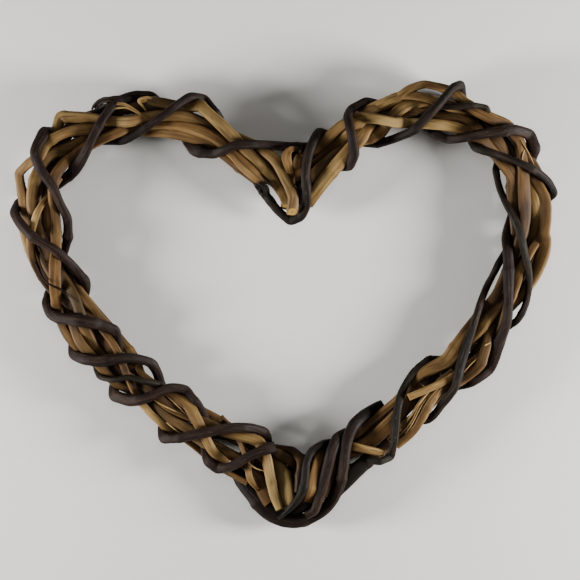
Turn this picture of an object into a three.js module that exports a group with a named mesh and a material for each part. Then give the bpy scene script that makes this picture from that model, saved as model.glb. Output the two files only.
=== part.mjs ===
// A heart-shaped wicker wreath: buff and dark willow rods laid round a heart, bound by their own wraps.
// Millimetres, +Z up. The wreath lies on its back; the origin is under the middle of its outline.
import * as THREE from "three";

// Rod thicknesses, as radii
const buffRadius = 2.5;
const broadRadius = 3;
const stoutRadius = 3.5;
const slimRadius = 1.9;
const wispRadius = 1.7;
const strapRadius = 2.1;
const darkRadius = 2.35;
const cleftDarkRadius = 2.55;
const thickDarkRadius = 2.75;
const thinDarkRadius = 1.75;
const twigRadius = 1.4;
const tipShare = 0.82;        // a rod's radius at its thin end, as a share of its thick end
const longTipShare = 0.64;    // the same for the rod round the cleft, which thins the most

// How the bundle builds up, measured from its middle plane
const frontHeight = 3;        // buff rods of the front layer
const topHeight = 6;          // buff rods that lie over the front layer
const backHeight = -3.2;      // buff rods of the back layer
const wrapHeight = 8.8;       // dark rods where they cross the face or the back
const shoulderRoom = 1.06;    // how far past its widest point a wrap's oval reaches
const tuckShare = 0.55;       // depth at which a wrap slips under the edge, as a share of wrapHeight
const tuckIn = 3.5;           // how far inside its seen end a wrap slips under
const backCrossing = [0.25, 0.75];  // where a wrap is at full depth, as shares of its way across the back
const floorDepth = 10.6;      // the surface that the wreath lies on, below the middle plane

// Finish of the solids
const rodGap = 0.34;          // clear space between two rods that touch
const flatDepth = 0.2;        // how much a rod is flattened where it lies on the surface
const sides = 6;
const longStep = 16;          // longest straight stretch of a buff rod
const wrapStep = 11;          // longest straight stretch of a dark rod

// How the rods settle against one another
const sideways = { dark: 0.06, buff: 0.25, back: 0.8 };  // how readily a rod gives sideways; it lifts freely
const settleRounds = 420;
const finishRounds = 150;
const fadeRounds = 200;       // the last of the settling rounds, over which pressing and smoothing fade out
const passes = 3;             // pushes apart in each round
const searchRounds = 20;      // rounds between searches for rods that lie near each other
const searchSlack = 4;        // how much further than touching such a search looks
const drawnPull = 0.3;        // how firmly a rod keeps its drawn line, a round
const pressing = 0.01;        // how firmly the bundle is pressed flat, a round
const stiffness = 0.35;       // how firmly a rod evens out its bends, a round

const colours = { buff: 0xb98e52, dark: 0x2f2927 };
const roughness = 0.6;

// The two half-lines of the heart, from the cleft to the tip, through the middle of the bundle
const rightLine = halfLine(
  [[2, 60], [21, 76], [44, 94], [78, 106], [112, 95], [130, 68], [129, 25], [106, -22], [66, -58],
    [28, -90], [4, -102]],
);
const leftLine = halfLine(
  [[2, 60], [-14, 73], [-36, 91], [-76, 104], [-118, 90], [-136, 62], [-128, 24], [-104, -20],
    [-66, -54], [-20, -87],
    [4, -102]],
);
const halves = { left: { line: leftLine, outward: 1 }, right: { line: rightLine, outward: -1 } };

function halfLine(corners) {
  const points = corners.map(([x, y]) => new THREE.Vector3(x, y, 0));
  const curve = new THREE.CatmullRomCurve3(points, false, "centripetal");
  curve.arcLengthDivisions = 400;
  return curve;
}

// A place on a half: distance along its line, distance across it (outward is positive), and height
function place(half, along, across, height) {
  const { line, outward } = halves[half];
  const length = line.getLength();
  const share = THREE.MathUtils.clamp(along / length, 0, 1);
  const spot = line.getPointAt(share);
  const heading = line.getTangentAt(share);
  const past = along - share * length;
  return new THREE.Vector3(
    spot.x + heading.x * past + heading.y * outward * across,
    spot.y + heading.y * past - heading.x * outward * across,
    height,
  );
}

// A knot near the tip, where the two halves run into one another, is given by its own x, y and height
function at(x, y, height) {
  return new THREE.Vector3(x, y, height);
}

// A buff rod runs along one half. Each knot is [along, across], with a height where it differs, or a place
// of its own.
function layRoute(half, height, knots) {
  return knots.map((knot) => {
    if (knot.isVector3) return knot;
    const [along, across, own] = knot;
    return place(half, along, across, own ?? height);
  });
}

// A dark rod winds round the bundle. Each turn lists the knots that show on the face; the knots at its
// two ends slip under the edge, the others lie on an oval, and the rod crosses the back to the next turn.
function wrapRoute(half, turns) {
  const route = [];
  turns.forEach((turn, index) => {
    const reach = Math.max(...turn.map(([, across]) => Math.abs(across))) * shoulderRoom;
    turn.forEach(([along, across, own], spot) => {
      const tucked = own === undefined && (spot === 0 || spot === turn.length - 1);
      const oval = wrapHeight * Math.sqrt(1 - (across / reach) ** 2);
      const height = own ?? (tucked ? -wrapHeight * tuckShare : oval);
      route.push(place(half, along, across - (tucked ? Math.sign(across) * tuckIn : 0), height));
    });
    const next = turns[index + 1];
    if (!next) return;
    const [fromAlong, fromAcross] = turn.at(-1);
    const [toAlong, toAcross] = next[0];
    for (const share of backCrossing) {
      const along = THREE.MathUtils.lerp(fromAlong, toAlong, share);
      const across = THREE.MathUtils.lerp(fromAcross, toAcross, share);
      route.push(place(half, along, across, -wrapHeight));
    }
  });
  return route;
}

// Turns a hand-laid route into evenly spaced points that keep every knot
function evenPoints(route, step) {
  const curve = new THREE.CatmullRomCurve3(route, false, "centripetal");
  const points = [route[0].clone()];
  for (let knot = 0; knot + 1 < route.length; knot++) {
    const parts = Math.max(1, Math.ceil(route[knot].distanceTo(route[knot + 1]) / step));
    for (let part = 1; part <= parts; part++) {
      points.push(curve.getPoint((knot + part / parts) / (route.length - 1)));
    }
  }
  return points;
}

const rods = [];

function addRod(name, finish, radius, route, thinEnd = tipShare, give = sideways[finish]) {
  const drawn = evenPoints(route, finish === "dark" ? wrapStep : longStep);
  const last = drawn.length - 1;
  const radii = drawn.map((point, index) => radius * THREE.MathUtils.lerp(1, thinEnd, index / last));
  rods.push({ name, finish, radii, give, drawn, points: drawn.map((point) => point.clone()) });
}

function addBuff(name, half, radius, height, knots, thinEnd = tipShare, give = sideways.buff) {
  addRod(name, "buff", radius, layRoute(half, height, knots), thinEnd, give);
}

function addDark(name, radius, leftTurns, rightTurns, thinEnd = tipShare) {
  const left = leftTurns ? wrapRoute("left", leftTurns).reverse() : [];
  const right = rightTurns ? wrapRoute("right", rightTurns) : [];
  addRod(name, "dark", radius, [...left, ...right], thinEnd);
}

// Dark rods that wind round the left half, over the cleft and round the right half
addDark("dark_rod_over_cleft", darkRadius, [
  [[20, 18, 6], [30, 11], [40, 0.5], [47, -9], [58, -11.8], [68.5, -9.8]],
  [[80, 6], [90, 9.2], [98, 9.9], [108, 7.2], [122, -4], [135, -11.5], [150, -13.5], [163, -13]],
  [[175, 11], [181, 12.3], [195, 5], [205, -4], [218, -10.6], [229, -12.3], [236, -11]],
  [[252, 12], [259, 14], [270, 6], [280, -6], [292, -11.7], [303, -9.5]],
  [[317, 13], [323, 16], [333, 7], [345, -6], [355, -14], [366, -18], [373, -14]],
], [
  [[18, 19, 6], [25, 13, 3], [30, 10, -2]],
  [[31, -8.5], [36, -10], [43, -7], [48, 2], [51, 12], [54, 14.3], [62, 14.3], [70, 12]],
  [[86, -9], [97, -12.4], [106, -14], [116, -10.2], [126, -1.5], [135, 10], [142, 15.3], [148, 14],
    [154, 10.5]],
  [[178, -9.7], [193, -8.2], [208, -5], [222, 0], [237, 6.8], [252, 11], [262, 14.5], [273, 12.3],
    [284, 10]],
]);
addDark("dark_rod_round_cleft", cleftDarkRadius, [
  [[-3, -12.3, 0], [6.8, -9.6, 0], [14.6, -6.8, -3], [24, -2, -8]],
], [
  [[-9.6, -12.2, 0], [-3.9, -14, 1], [2.9, -11.4, 4], [8, -6, 7.5], [14, 2], [21, 8.5], [30, 13.3],
    [35, 14.5], [39, 12]],
  [[48, -5], [58, -8.3], [70, -10.5], [80, -10], [90, -4], [97, 4], [102, 13.5], [105, 16.3], [108, 13]],
  [[118, -9.5], [127, -11], [137, -8], [147, -1.5], [156, 7], [164, 14.3], [169, 16.3], [174, 13]],
  [[195, -8.5], [210, -11.5], [225, -13], [240, -10], [256, -5.5], [271, 1], [281, 8], [292, 11],
    [304, 12.8, 2], [314, 8]],
], longTipShare);
addDark("dark_rod_left", darkRadius, [
  [[42, 0, -6], [49, 6, -3], [57, 11.5], [65, 15.4], [71, 14], [77, 6.5], [85, -2.7], [96, -9.5],
    [107, -12.3], [125, -9.5]],
  [[139, 11], [145, 12.3], [153, 9], [158, 3], [166, -8], [177, -12.8], [190, -15.3], [201, -12.6],
    [210, -9]],
  [[222, 9], [230, 12.2], [236, 12.9], [241, 10.4], [247, 1], [255, -7.5], [263, -11.5], [276, -6]],
  [[283, 12], [288, 15.3], [296, 12.5], [302, 5], [309, -8], [317, -12.8], [327, -11], [337, -7.5]],
  [[343, 9.5], [350, 12], [356, 12.3], [361, 8], [366, -2], [372, -11], [376, -15, 5]],
], null);
addDark("dark_rod_right_thin", thinDarkRadius, null, [
  [[78, -8], [88, -3], [95, 2], [105, 5], [113, 8.5], [119, 11], [124, 9.5]],
  [[141, -8], [149, -11], [160, -12.5], [172, -10.5], [184, -4.5], [196, 2], [208, 9.3], [220, 12.3],
    [234, 11.8], [246, 9]],
  [[275, -10], [282, -12.6], [292, -12.6], [304, -8.5], [316, 0], [326, 9.5], [333, 14.3], [339, 12.5],
    [346, 8]],
]);
addDark("dark_rod_left_thin", thinDarkRadius, [
  [[262, 4, -8], [268, 8, -4], [276, 11.4], [282, 8], [288, 1], [296, -2.4], [304, -6, 2]],
], null);

// Dark rods that gather round the tip, each from its left or lower end
addRod("dark_rod_tip_front", "dark", thickDarkRadius, [
  at(-28, -89, -7), at(-23.7, -98.5, -4), at(-18.7, -105.6, -2), at(-13.8, -111.7, -1),
  at(-7.7, -116.6, -1),
  at(-0.6, -119.6, -1), at(6, -120.3, -1), at(13.2, -118.6, -1), at(21.2, -114, 1), at(26.4, -107.6, 3.5),
  at(29.7, -100, 6), at(31.6, -92, 8), at(33, -82, 8.5), at(34.7, -74.3, 7.5), at(38.5, -66.4, 4),
  at(47, -59.5, 0),
  at(54, -56, -6),
]);
addRod("dark_rod_tip_middle", "dark", darkRadius, [
  at(11, -117, 4), at(15.7, -114, 5), at(18.3, -107.6, 6), at(20.9, -100.3, 7), at(23.7, -90, 7.5),
  at(26.2, -80, 7), at(29, -74, 3), at(34, -71, -4),
]);
addRod("dark_rod_tip_inner", "dark", darkRadius, [
  at(-5.5, -117.5, 4), at(-1.7, -115, 4.5), at(2.8, -111.7, 5), at(7.2, -107.4, 5.5), at(10.2, -101.5, 5.5),
  at(11.3, -94.6, 5.5), at(12.1, -87.5, 5), at(15, -81, 3), at(21, -77.2, 0), at(28, -76, -5),
]);
addRod("dark_rod_tip_lower", "dark", thickDarkRadius, [
  at(4.5, -113.5, -3), at(11, -109, -3), at(17.5, -104.5, -3), at(24, -98, -4), at(31, -92, -6),
]);
addRod("dark_rod_tip_outer", "dark", thickDarkRadius, [
  at(27, -104.5, -6), at(33.5, -98, -2), at(40, -91.5, 0), at(47, -85.8, 0), at(54, -81, -3),
  at(60, -74, -6),
]);
addRod("dark_rod_tip_back_left", "dark", darkRadius, [
  at(-25, -83.5, -8), at(-19, -89, -8), at(-11, -97, -7), at(-2.5, -106, -5),
]);
addRod("dark_rod_tip_back_middle", "dark", darkRadius, [at(7.5, -83, -5), at(6, -91, -4), at(7, -104, -4)]);
addRod("dark_rod_tip_back_right", "dark", darkRadius, [at(24.5, -84, -8), at(24, -96, -8), at(20, -108, -8)]);

// Buff rods of the left half, front layer first
addBuff("buff_rod_left_1", "left", broadRadius, topHeight, [
  [-4, -6, 3], [-2, -3, 4], [10, 1], [30, 3], [50, 6.5], [60, 9.5], [66, 12], [72, 8.5], [82, 7], [93, 8],
]);
addBuff("buff_rod_left_2", "left", buffRadius, frontHeight, [
  [-8, -6, 4], [-3, 2, 4], [8, 7.5], [18, 10.5], [30, 9], [48, 3.5], [70, 3], [90, -2], [102, -4],
  [114, 0], [125, 7],
  [134, 13], [142, 8], [160, 3, -2], [200, 5, -2], [225, 2], [240, 3], [256, 8], [272, 8.6], [284, 9.2],
  [300, 5], [320, 5.2],
  [336, 2], [350, -5, 0], at(-17, -79, 0), at(-7.7, -80.9, 1), at(3.5, -86, 0), at(9, -91, -4),
]);
addBuff("buff_rod_left_3", "left", buffRadius, frontHeight, [
  [13, -4.4, 1], [30, -3.5], [50, -1.5], [70, -2.5], [88, -5], [110, -7], [124, -8],
  [140, -8], [160, -7],
  [190, -9], [204, -5], [222, 3], [236, 9], [252, 12], [266, 10, 0], [284, 7, -3],
]);
addBuff("buff_rod_left_4", "left", buffRadius, 0, [
  [21, -6, -4], [36, -6.5, -1], [55, -5.5], [75, -7.5], [95, -8.5, -3], [118, -3.5, 0], [130, 2, 4],
  [138, 5, 5],
  [147, 7.5, 5], [154, 6, 5], [160, 10, 4], [165, 13, 3], [172, 9, 3], [184, 6.5, 3], [200, 2, 3],
  [214, -5, 3], [228, -6.3, 3], [253, -9.5, 2],
  [280, -8.5, 0], [308, -5, 4], [322, -6, 4], [337, 0, 4.5], [348, 6, 4], [359, 8, 3],
]);
addBuff("buff_rod_left_5", "left", broadRadius, frontHeight, [
  [104, -1, -1], [128, -4, 2], [137, -3.5], [150, 3], [168, 2.5], [188, 2.5], [212, 0], [236, -2.5],
  [252, 1.5],
  [266, 4, 1], [284, 3, 0], [300, 0], [314, 0.5], [330, -2.5], [346, -6], at(-14, -76, 3),
  at(-10.3, -84, 4.5),
  at(-8.5, -92, 5), at(-6, -104, 5), at(-3.2, -113.6, 4),
]);
addBuff("buff_rod_left_6", "left", slimRadius, topHeight, [
  [158, -9, 1], [171, -7, 4], [183, 0], [196, 7.5], [207, 9.5], [222, 7.5, 4], [240, 0, 1], [256, -6, 3],
  [272, -5],
  [286, 1.5], [297, 7], [310, 10, 4], [326, 9, 3], [346, 10, 1], [362, 11, 3], [374, 10, 3],
]);
addBuff("buff_rod_left_7", "left", slimRadius, topHeight, [
  [342, -11, 0], [355, -8, 3], [366, -1], [374, 7.5], [381, 10, 3],
]);
addBuff("buff_rod_left_8", "left", stoutRadius, 1, [
  at(-17, -84, -4), at(-8, -86, -1), at(-3, -92, 1), at(0.4, -99, 2), at(2.6, -108, 1),
]);

// Back layer of the left half
addBuff("buff_rod_left_9", "left", buffRadius, backHeight, [
  [0, 3], [30, 6], [62, 1.5], [90, 5], [126, 5], [152, 0], [190, 7], [240, 5], [300, 5], [340, 6],
  [366, 2], [384, 6],
], tipShare, sideways.back);
addBuff("buff_rod_left_10", "left", buffRadius, backHeight, [
  [18, -5], [60, -5], [110, -5], [150, -6], [190, -5], [240, -4], [300, -4], [340, -7], at(-9, -80, -4),
  at(3, -83, -1), at(8.6, -88, 1), at(9, -97, 1), at(8.5, -104, 0),
], tipShare, sideways.back);

// Buff rods of the right half, front layer first
addBuff("buff_rod_right_1", "right", buffRadius, frontHeight, [
  [10, 9, 1], [30, 9.5], [45, 9], [53, 8.5], [60, 4, 5], [72, -3, 5], [90, -7, 4], [108, -7],
  [128, -8.5, 1], [147, -6],
  [156, -4], [168, -6.5], [184, -6.5, 1], [202, -7, -1],
]);
addBuff("buff_rod_right_2", "right", buffRadius, frontHeight, [
  [12, 2, 1], [26, 5], [40, 5], [50, 4.2], [62, 8.5], [76, 9], [84, 13], [90, 15.2], [102, 13], [112, 8.5],
  [124, 6.5], [134, 8, 2], [142, 8], [149, 5], [165, 0], [187, -1], [206, -4, 1], [228, -5], [244, -8, 1],
  [262, -8], [275, -6], [290, -9], [306, -6, 1], [330, -7], [342, -7], [354, -10, 0],
]);
addBuff("buff_rod_right_3", "right", buffRadius, frontHeight, [
  [6, -3], [22, 0], [46, 1], [60, -1, 1], [68, 2.5, 2], [83, 5], [92, 5.5], [104, 4, 1], [118, 7.3],
  [128, 4, 2],
  [146, 1, 0], [158, 5, 2], [172, 10], [188, 12], [193, 14.3], [207, 12], [225, 7], [238, 3, 2],
  [248, 4, 2],
  [264, 8], [276, 6.5, 1], [290, 4], [304, 11], [312, 13], [327, 11.5, 2],
]);
addBuff("buff_rod_right_4", "right", broadRadius, frontHeight, [
  [4, -10, 1], [15, -8], [42, -4.2], [58, -1.5, -2], [80, 0, -2], [97, -3, 1], [106, 0], [114, -0.5],
  [124, -4, 1],
  [134, -1], [146, -1.5, 0], [162, 2.5], [178, 6], [192, 5], [210, 2], [232, -1], [252, -3.6], [266, -4, 0],
  [282, 0, -2],
]);
addBuff("buff_rod_right_5", "right", slimRadius, topHeight, [
  [56, 12, 0], [68, 11, 3], [80, 10.3, 4], [92, 6], [100, 3, 4], [112, 4, 0], [130, 9, 0], [150, 9, 0],
  [164, 11.5, 1],
  [177, 12.8, 2], [188, 10.5, 5], [198, 5.5, 5], [214, 2, 3], [236, 3.5, 3], [256, 5, 1], [278, 4, 3],
  [292, 0],
  [304, -3.5, 5],
]);
addBuff("buff_rod_right_6", "right", slimRadius, frontHeight, [
  [276, 0, -1], [290, 2, 3], [302, 6.3, 5], [316, 6.5, 4], [328, 7.5, 2],
]);
addBuff("buff_rod_right_7", "right", broadRadius, frontHeight, [
  [294, -3, -3], [306, -1, 0], [318, 0.5, 3], [336, 0, 3], [350, -4, 1], [366, -8, 1], [380, -4, 1],
]);
addBuff("buff_rod_right_8", "right", slimRadius, topHeight, [
  at(22, -84, 0), at(30, -79.5, 1), at(38, -79.4, 4), at(46, -80.8, 5), at(55, -82.5, 4),
]);
addBuff("buff_rod_right_9", "right", buffRadius, frontHeight, [
  at(12.5, -109, 0), at(14.4, -103, 3), at(16, -95, 4), at(18.5, -86, 3), at(22.5, -78.5, -1),
]);
addBuff("buff_rod_right_10", "right", wispRadius, frontHeight, [
  at(22, -106, 0), at(24.6, -98, 2), at(27.3, -87, 3), at(28.6, -79, 1),
]);

// Back layer of the right half
addBuff("buff_rod_right_11", "right", buffRadius, backHeight, [
  [4, 3], [40, 6], [96, 4], [150, 5], [190, 7], [230, 3], [262, 4], [300, 7], [340, 8], [362, 5], [378, 6],
], tipShare, sideways.back);
addBuff("buff_rod_right_12", "right", buffRadius, backHeight, [
  [6, -5], [40, -2], [68, 0], [100, -3], [130, 0], [158, -3.5], [190, -6], [220, -2], [260, -5],
  [300, -4], [340, -3],
  [366, -5], at(16, -100, -4),
], tipShare, sideways.back);

// A folded strip of buff willow stands up in the cleft, beside a thin dark rod
addRod("cleft_strap", "buff", strapRadius, [
  at(7.6, 65, 0), at(7.9, 73, 4), at(6.6, 79.5, 7.5), at(3.6, 82.6, 9), at(0.6, 79.5, 7), at(1.4, 72, 2),
], 1);
addRod("dark_rod_cleft_inner", "dark", twigRadius, [at(7.6, 70, -2), at(8.4, 62, 0), at(9.3, 53.5, 0),
at(5, 49.5, -3)]);

// Settling: the rods are pressed together towards the middle plane, pushed apart where they touch,
// kept smooth, and kept above the surface that the wreath lies on
const nearest = { first: 0, second: 0, gap: new THREE.Vector3() };

function nearestOnSegments(a, b, c, d) {
  const along = b.clone().sub(a);
  const other = d.clone().sub(c);
  const between = a.clone().sub(c);
  const aa = along.lengthSq();
  const bb = other.lengthSq();
  const f = other.dot(between);
  const g = along.dot(between);
  const h = along.dot(other);
  const spread = aa * bb - h * h;
  let first = spread > 1e-9 ? THREE.MathUtils.clamp((h * f - g * bb) / spread, 0, 1) : 0.5;
  let second = (h * first + f) / bb;
  if (second < 0) {
    second = 0;
    first = THREE.MathUtils.clamp(-g / aa, 0, 1);
  } else if (second > 1) {
    second = 1;
    first = THREE.MathUtils.clamp((h - g) / aa, 0, 1);
  }
  nearest.first = first;
  nearest.second = second;
  nearest.gap.copy(between).addScaledVector(along, first).addScaledVector(other, -second);
}

function findPairs(slack) {
  const stretches = [];
  rods.forEach((rod, owner) => {
    for (let start = 0; start + 1 < rod.points.length; start++) {
      const middle = rod.points[start].clone().add(rod.points[start + 1]).multiplyScalar(0.5);
      const radius = Math.max(rod.radii[start], rod.radii[start + 1]);
      const reach = rod.points[start].distanceTo(rod.points[start + 1]) / 2 + radius;
      stretches.push({ owner, rod, start, middle, radius, reach });
    }
  });
  const pairs = [];
  for (let one = 0; one < stretches.length; one++) {
    for (let two = one + 1; two < stretches.length; two++) {
      const first = stretches[one];
      const second = stretches[two];
      if (first.owner === second.owner) continue;
      const room = first.reach + second.reach + rodGap + slack;
      if (first.middle.distanceToSquared(second.middle) < room * room) pairs.push([first, second]);
    }
  }
  return pairs;
}

function pushApart(pairs) {
  for (const [first, second] of pairs) {
    const a = first.rod.points[first.start];
    const b = first.rod.points[first.start + 1];
    const c = second.rod.points[second.start];
    const d = second.rod.points[second.start + 1];
    nearestOnSegments(a, b, c, d);
    const wanted = first.radius + second.radius + rodGap;
    const distance = nearest.gap.length();
    if (distance >= wanted) continue;
    const direction = nearest.gap.clone().divideScalar(distance);
    const moves = [
      [a, 1 - nearest.first, first.rod.give],
      [b, nearest.first, first.rod.give],
      [c, nearest.second - 1, second.rod.give],
      [d, -nearest.second, second.rod.give],
    ];
    const level = direction.x ** 2 + direction.y ** 2;
    const rise = direction.z ** 2;
    const total = moves.reduce((sum, [, weight, give]) => sum + weight * weight * (give * level + rise), 0);
    const push = (wanted - distance) / total;
    for (const [point, weight, give] of moves) {
      point.x += direction.x * push * weight * give;
      point.y += direction.y * push * weight * give;
      point.z += direction.z * push * weight;
    }
  }
}

function keepAboveSurface() {
  const flatSide = Math.cos(Math.PI / sides);
  for (const rod of rods) {
    rod.points.forEach((point, index) => {
      point.z = Math.max(point.z, rod.radii[index] * flatSide - flatDepth - floorDepth);
    });
  }
}

function relax(strength) {
  for (const rod of rods) {
    const shift = rod.points.map((point, index) => point.clone().sub(rod.drawn[index]));
    rod.points.forEach((point, index) => {
      const before = shift[Math.max(0, index - 1)];
      const after = shift[Math.min(shift.length - 1, index + 1)];
      const even = before.clone().add(after).multiplyScalar(0.5).sub(shift[index]);
      point.addScaledVector(even, stiffness * strength);
      point.x -= shift[index].x * drawnPull * strength;
      point.y -= shift[index].y * drawnPull * strength;
      point.z *= 1 - pressing * strength;
    });
  }
}

function settle() {
  let pairs = [];
  for (let round = 0; round < settleRounds + finishRounds; round++) {
    if (round % searchRounds === 0) pairs = findPairs(searchSlack);
    const strength = Math.min(1, Math.max(0, (settleRounds - round) / fadeRounds));
    relax(strength);
    for (let pass = 0; pass < passes; pass++) pushApart(pairs);
    keepAboveSurface();
  }
}

// A closed rod with flat ends: one six-sided ring at each point, its flat sides level
function rodGeometry(points, radii) {
  const positions = [];
  const upward = new THREE.Vector3(0, 0, 1);
  let side = null;
  points.forEach((point, index) => {
    const before = points[Math.max(0, index - 1)];
    const after = points[Math.min(points.length - 1, index + 1)];
    const into = point.clone().sub(before).normalize();
    const out = after.clone().sub(point).normalize();
    const heading = into.add(out).normalize();
    const level = new THREE.Vector3().crossVectors(upward, heading);
    const steadiness = Math.min(1, level.length() * 2);
    level.normalize();
    side = side ? side.lerp(level, steadiness) : level;
    side.addScaledVector(heading, -side.dot(heading)).normalize();
    const lift = new THREE.Vector3().crossVectors(heading, side);
    for (let corner = 0; corner < sides; corner++) {
      const angle = (corner / sides) * 2 * Math.PI;
      const spot = point.clone();
      spot.addScaledVector(side, Math.cos(angle) * radii[index]);
      spot.addScaledVector(lift, Math.sin(angle) * radii[index]);
      positions.push(spot.x, spot.y, Math.max(0, spot.z));
    }
  });
  const faces = [];
  for (let ring = 0; ring + 1 < points.length; ring++) {
    for (let corner = 0; corner < sides; corner++) {
      const here = ring * sides + corner;
      const next = ring * sides + ((corner + 1) % sides);
      faces.push(here, next, next + sides, here, next + sides, here + sides);
    }
  }
  const last = (points.length - 1) * sides;
  for (let corner = 1; corner + 1 < sides; corner++) {
    faces.push(0, corner + 1, corner);
    faces.push(last, last + corner, last + corner + 1);
  }
  const geometry = new THREE.BufferGeometry();
  geometry.setAttribute("position", new THREE.Float32BufferAttribute(positions, 3));
  geometry.setIndex(faces);
  geometry.computeVertexNormals();
  return geometry;
}

settle();
const wreath = new THREE.Group();
for (const rod of rods) {
  for (const point of rod.points) point.z += floorDepth;
  const material = new THREE.MeshStandardMaterial({ color: colours[rod.finish], roughness, metalness: 0 });
  const mesh = new THREE.Mesh(rodGeometry(rod.points, rod.radii), material);
  mesh.name = rod.name;
  wreath.add(mesh);
}

// The origin goes under the middle of the outline
const middle = new THREE.Box3().setFromObject(wreath, true).getCenter(new THREE.Vector3());
wreath.position.set(-middle.x, -middle.y, 0);

export default wreath;
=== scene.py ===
import math
import random
from functools import partial

import bmesh
import bpy
import numpy as np
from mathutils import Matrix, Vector


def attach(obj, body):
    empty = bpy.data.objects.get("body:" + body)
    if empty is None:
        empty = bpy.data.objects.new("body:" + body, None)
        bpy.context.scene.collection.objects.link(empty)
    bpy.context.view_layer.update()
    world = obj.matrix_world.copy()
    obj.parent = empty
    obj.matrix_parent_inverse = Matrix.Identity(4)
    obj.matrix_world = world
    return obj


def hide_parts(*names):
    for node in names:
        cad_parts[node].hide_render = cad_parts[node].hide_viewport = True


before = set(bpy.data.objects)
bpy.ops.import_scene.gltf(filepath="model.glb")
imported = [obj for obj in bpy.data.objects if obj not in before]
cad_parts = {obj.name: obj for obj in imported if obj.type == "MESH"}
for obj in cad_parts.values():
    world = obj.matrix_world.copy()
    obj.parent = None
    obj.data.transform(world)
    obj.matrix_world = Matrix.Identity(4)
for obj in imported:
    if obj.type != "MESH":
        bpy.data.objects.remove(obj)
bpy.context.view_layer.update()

mm = 0.001

# The photograph: the pixel over the wreath's middle, and the size of a pixel on the wreath
photo = {"middleX": 284.0, "middleY": 303.0, "pixel": 0.55 * mm}


def photoSpot(x, y, height=0.0):
    # a pixel of the photograph as a place on the wreath, height in mm
    return ((x - photo["middleX"]) * photo["pixel"], (photo["middleY"] - y) * photo["pixel"], height * mm)


def srgb(code):
    # sRGB hex to the linear colour that a shader wants
    parts = [int(code[i:i + 2], 16) / 255 for i in (1, 3, 5)]
    return tuple(c / 12.92 if c <= 0.04045 else ((c + 0.055) / 1.055) ** 2.4 for c in parts) + (1.0,)


def findSocket(sockets, key):
    return sockets[key] if isinstance(key, int) else next(s for s in sockets if key in (s.identifier, s.name))


def addNode(tree, kind, links=None, output=0, stops=None, **settings):
    # one node with its settings, values and links; it hands back the output that the next node wants
    node = tree.nodes.new(kind)
    for name, value in settings.items():
        setattr(node, name, value)
    for number, (position, code) in enumerate(stops or []):
        elements = node.color_ramp.elements
        element = elements[number] if number < len(elements) else elements.new(position)
        element.position = position
        element.color = srgb(code)
    for key, value in (links or {}).items():
        if isinstance(value, bpy.types.NodeSocket):
            tree.links.new(value, findSocket(node.inputs, key))
        else:
            findSocket(node.inputs, key).default_value = value
    return node if output is None else findSocket(node.outputs, output)


# finishes
def newMaterial(name, makeShader):
    material = bpy.data.materials.new(name)
    material.use_nodes = True
    tree = material.node_tree
    tree.nodes.clear()
    addNode(tree, "ShaderNodeOutputMaterial", {"Surface": makeShader(partial(addNode, tree))}, output=None)
    return material


def grain(add, across, along, detail=3.0, distortion=0.0, roughness=0.6):
    # noise in the rod's own straightened space, with its grains' size across and along the rod in mm
    rod = add("ShaderNodeAttribute", output="Vector", attribute_type="GEOMETRY", attribute_name="rodSpace")
    spread = (1 / (across * mm), 1 / (across * mm), 1 / (along * mm))
    place = add("ShaderNodeMapping", {"Vector": rod, "Scale": spread})
    return add("ShaderNodeTexNoise", {
        "Vector": place, "Scale": 1.0, "Detail": detail, "Roughness": roughness, "Distortion": distortion,
    })


# How the bundle's painted shade is set: the share of open sky at which a spot counts as shut in and as open,
# the rays that measure it, the heights in mm between which the painted shade lightens, and how much faster
# green and blue fade than red
bundleShade = {"shut": 0.2, "open": 0.92, "rays": 8, "low": 3, "high": 18, "greenFade": 1.2, "blueFade": 1.45}


def rodShade(add, look):
    # painted shade: rods are painted darker where they touch and deep in the bundle, and what is painted
    # darker is also browner
    light = add("ShaderNodeAmbientOcclusion", {"Distance": look["creviceReach"] * mm},
                output="AO", samples=bundleShade["rays"])
    shade = add("ShaderNodeMapRange", {
        "Value": light, "From Min": bundleShade["shut"], "From Max": bundleShade["open"],
        "To Min": look["creviceShade"], "To Max": 1.0,
    })
    place = add("ShaderNodeTexCoord", output="Object")
    height = add("ShaderNodeSeparateXYZ", {"Vector": place}, output="Z")
    depth = add("ShaderNodeMapRange", {
        "Value": height, "From Min": bundleShade["low"] * mm, "From Max": bundleShade["high"] * mm,
        "To Min": look["deepShade"], "To Max": 1.0,
    })
    shade = add("ShaderNodeMath", {0: shade, 1: depth}, operation="MULTIPLY")
    green = add("ShaderNodeMath", {0: shade, 1: bundleShade["greenFade"]}, operation="POWER")
    blue = add("ShaderNodeMath", {0: shade, 1: bundleShade["blueFade"]}, operation="POWER")
    return add("ShaderNodeCombineColor", {"Red": shade, "Green": green, "Blue": blue})


# Tones and hues are colours and where they lie on a rod's tone and hue. Lengths are in mm. Real fibres and
# pores are too fine to show, so both are drawn a few times coarser.
buffFinish = {
    "tones": [(0.05, "#33220f"), (0.38, "#5b4122"), (0.66, "#7d6138"), (0.95, "#a58a58")],
    "hues": [(0.0, "#625a35"), (0.5, "#5b4122"), (1.0, "#7e5029")], "plainHue": 0.5,
    "fibreAcross": 0.45, "fibreAlong": 16, "fibrous": 0.5,
    "streakAcross": 1.3, "streakAlong": 38, "streaky": 0.7,
    "patchAcross": 7, "patchAlong": 24, "patchy": 1.25,
    "stain": "#2c1b10", "stainAcross": 2.2, "stainAlong": 30,
    "stainFrom": 0.56, "stainTo": 0.7, "stained": 0.75,
    "creviceReach": 7, "creviceShade": 0.12, "deepShade": 0.5,
    "roughness": 0.6, "smoother": 0.08, "rougher": 0.14,
    "streakRelief": 1.6, "bump": 0.45, "bumpDepth": 0.2,
    "specular": 0.2, "coat": 0.02, "coatRoughness": 0.35,
}
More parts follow.
